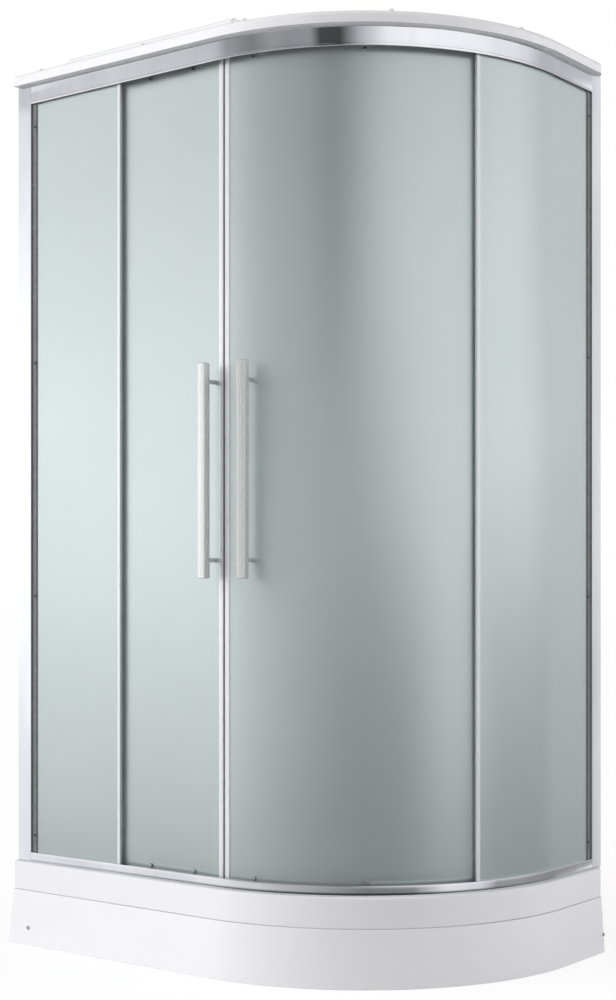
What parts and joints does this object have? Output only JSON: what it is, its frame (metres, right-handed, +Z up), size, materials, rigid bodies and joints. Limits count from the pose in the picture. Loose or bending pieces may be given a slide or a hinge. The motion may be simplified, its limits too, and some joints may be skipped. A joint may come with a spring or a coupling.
{
  "type": "quadrant shower cabin",
  "caption": "Offset quadrant shower cabin: white tray with apron, bright curved rails, frosted fixed panes, one flat and one curved sliding door with bar handles, and a white roof.",
  "frame": {"origin": "middle of the 1200 x 800 mm footprint, at floor level", "axes": "+X along the long front towards the rounded corner, +Y towards the wall behind, +Z up"},
  "size_m": [1.2, 0.8, 2.12],
  "materials": {
    "acrylic": "glossy white sanitary acrylic",
    "roof_acrylic": "white formed acrylic",
    "polished_aluminium": "mirror-bright extrusion",
    "frosted_glass": "satin-frosted toughened glass",
    "clear_seal": "clear flexible strip",
    "grey_rubber": "smooth",
    "black_rubber": "smooth",
    "satin_steel": "satin brushed",
    "zinc_steel": "zinc plated",
    "spring_steel": "bright wire",
    "black_plastic": "moulded",
    "white_plastic": "moulded",
    "wheel_nylon": "turned nylon",
    "roller_caps": "chromed caps",
    "dark_screws": "small screw heads",
    "screw_caps": "bright screw heads",
    "waste_chrome": "polished",
    "wall_panel": "white gloss panel",
    "white_aluminium": "white powder coat"
  },
  "bodies": {
    "cabin": {"tray_basin": "acrylic", "tray_apron": "acrylic", "tray_frame": "zinc_steel", "levelling_studs": "zinc_steel", "levelling_pads": "black_plastic", "apron_screws": "screw_caps", "apron_brackets": "zinc_steel", "waste_body": "white_plastic", "waste_flange": "waste_chrome", "waste_gasket": "black_rubber", "lower_rail": "polished_aluminium", "upper_rail": "polished_aluminium", "left_wall_profile": "polished_aluminium", "right_wall_profile": "polished_aluminium", "left_fixed_glass": "frosted_glass", "right_fixed_glass": "frosted_glass", "wall_glass_gaskets": "grey_rubber", "fixed_glass_edge_seals": "clear_seal", "profile_screws": "dark_screws", "door_stops": "black_rubber", "side_wall_panel": "wall_panel", "rear_wall_panel": "wall_panel", "rear_corner_post": "white_aluminium", "roof_panel": "roof_acrylic", "roof_screws": "dark_screws"},
    "waste_cover": {"waste_cover": "waste_chrome"},
    "left_door": {"left_door_glass": "frosted_glass", "left_door_magnet_seal": "clear_seal", "left_door_fin_seal": "clear_seal", "left_door_handle_bar": "satin_steel", "left_door_handle_posts": "satin_steel", "left_door_handle_bolts": "satin_steel", "left_door_hangers": "white_plastic", "left_door_roller_bolts": "roller_caps", "left_door_lower_housings": "white_plastic", "left_door_lead_release_spring": "spring_steel", "left_door_trail_release_spring": "spring_steel"},
    "left_door_lead_upper_wheel": {"left_door_lead_upper_wheel": "wheel_nylon"},
    "left_door_lead_release": {"left_door_lead_release_slider": "white_plastic"},
    "left_door_lead_lower_wheel": {"left_door_lead_lower_wheel": "wheel_nylon"},
    "left_door_trail_upper_wheel": {"left_door_trail_upper_wheel": "wheel_nylon"},
    "left_door_trail_release": {"left_door_trail_release_slider": "white_plastic"},
    "left_door_trail_lower_wheel": {"left_door_trail_lower_wheel": "wheel_nylon"},
    "right_door": {"right_door_glass": "frosted_glass", "right_door_magnet_seal": "clear_seal", "right_door_fin_seal": "clear_seal", "right_door_handle_bar": "satin_steel", "right_door_handle_posts": "satin_steel", "right_door_handle_bolts": "satin_steel", "right_door_hangers": "white_plastic", "right_door_roller_bolts": "roller_caps", "right_door_lower_housings": "white_plastic", "right_door_lead_release_spring": "spring_steel", "right_door_trail_release_spring": "spring_steel"},
    "right_door_lead_upper_wheel": {"right_door_lead_upper_wheel": "wheel_nylon"},
    "right_door_lead_release": {"right_door_lead_release_slider": "white_plastic"},
    "right_door_lead_lower_wheel": {"right_door_lead_lower_wheel": "wheel_nylon"},
    "right_door_trail_upper_wheel": {"right_door_trail_upper_wheel": "wheel_nylon"},
    "right_door_trail_release": {"right_door_trail_release_slider": "white_plastic"},
    "right_door_trail_lower_wheel": {"right_door_trail_lower_wheel": "wheel_nylon"}
  },
  "joints": [
    {"name": "waste_cover_lift", "type": "slide", "parent": "cabin", "child": "waste_cover", "axis": [0, 0, 1], "range_m": [0, 0.02]},
    {"name": "left_door_slide", "type": "slide", "parent": "cabin", "child": "left_door", "axis": [-1, 0, 0], "range_m": [0, 0.24]},
    {"name": "right_door_turn", "type": "hinge", "parent": "cabin", "child": "right_door", "pos_m": [0.02, 0.18, 1.1], "axis": [0, 0, 1], "range_deg": [0, 30]},
    {"name": "left_door_lead_upper_wheel_spin", "type": "hinge", "parent": "left_door", "child": "left_door_lead_upper_wheel", "pos_m": [-0.054, -0.334, 2.04015], "axis": [0, -1, 0], "range_deg": [-1, 1529]},
    {"name": "left_door_lead_release_lift", "type": "slide", "parent": "left_door", "child": "left_door_lead_release", "axis": [0, 0, 1], "range_m": [0, 0.005], "stiffness_N_per_m": 600, "springref_m": -0.004, "deforming": ["left_door_lead_release_spring"]},
    {"name": "left_door_lead_lower_wheel_spin", "type": "hinge", "parent": "left_door_lead_release", "child": "left_door_lead_lower_wheel", "pos_m": [-0.054, -0.3325, 0.22015], "axis": [0, -1, 0], "range_deg": [-1, 1966]},
    {"name": "left_door_trail_upper_wheel_spin", "type": "hinge", "parent": "left_door", "child": "left_door_trail_upper_wheel", "pos_m": [-0.184, -0.334, 2.04015], "axis": [0, -1, 0], "range_deg": [-1, 1529]},
    {"name": "left_door_trail_release_lift", "type": "slide", "parent": "left_door", "child": "left_door_trail_release", "axis": [0, 0, 1], "range_m": [0, 0.005], "stiffness_N_per_m": 600, "springref_m": -0.004, "deforming": ["left_door_trail_release_spring"]},
    {"name": "left_door_trail_lower_wheel_spin", "type": "hinge", "parent": "left_door_trail_release", "child": "left_door_trail_lower_wheel", "pos_m": [-0.184, -0.3325, 0.22015], "axis": [0, -1, 0], "range_deg": [-1, 1966]},
    {"name": "right_door_lead_upper_wheel_spin", "type": "hinge", "parent": "right_door", "child": "right_door_lead_upper_wheel", "pos_m": [0.10926, -0.32619, 2.04015], "axis": [-0.1736, 0.9848, 0], "range_deg": [-1, 1715]},
    {"name": "right_door_lead_release_lift", "type": "slide", "parent": "right_door", "child": "right_door_lead_release", "axis": [0, 0, 1], "range_m": [0, 0.005], "stiffness_N_per_m": 600, "springref_m": -0.004, "deforming": ["right_door_lead_release_spring"]},
    {"name": "right_door_lead_lower_wheel_spin", "type": "hinge", "parent": "right_door_lead_release", "child": "right_door_lead_lower_wheel", "pos_m": [0.10899, -0.32471, 0.22015], "axis": [-0.1736, 0.9848, 0], "range_deg": [-1, 2198]},
    {"name": "right_door_trail_upper_wheel_spin", "type": "hinge", "parent": "right_door", "child": "right_door_trail_upper_wheel", "pos_m": [0.32933, -0.2305, 2.04015], "axis": [-0.6018, 0.7986, 0], "range_deg": [-1, 1715]},
    {"name": "right_door_trail_release_lift", "type": "slide", "parent": "right_door", "child": "right_door_trail_release", "axis": [0, 0, 1], "range_m": [0, 0.005], "stiffness_N_per_m": 600, "springref_m": -0.004, "deforming": ["right_door_trail_release_spring"]},
    {"name": "right_door_trail_lower_wheel_spin", "type": "hinge", "parent": "right_door_trail_release", "child": "right_door_trail_lower_wheel", "pos_m": [0.32843, -0.2293, 0.22015], "axis": [-0.6018, 0.7986, 0], "range_deg": [-1, 2198]}
  ],
  "couplings": [
    {"joint": "left_door_lead_upper_wheel_spin", "follows": "left_door_slide", "rad_per_m": 111.11},
    {"joint": "left_door_lead_lower_wheel_spin", "follows": "left_door_slide", "rad_per_m": 142.86},
    {"joint": "left_door_trail_upper_wheel_spin", "follows": "left_door_slide", "rad_per_m": 111.11},
    {"joint": "left_door_trail_lower_wheel_spin", "follows": "left_door_slide", "rad_per_m": 142.86},
    {"joint": "right_door_lead_upper_wheel_spin", "follows": "right_door_turn", "ratio": 57.111},
    {"joint": "right_door_lead_lower_wheel_spin", "follows": "right_door_turn", "ratio": 73.214},
    {"joint": "right_door_trail_upper_wheel_spin", "follows": "right_door_turn", "ratio": 57.111},
    {"joint": "right_door_trail_lower_wheel_spin", "follows": "right_door_turn", "ratio": 73.214}
  ]
}
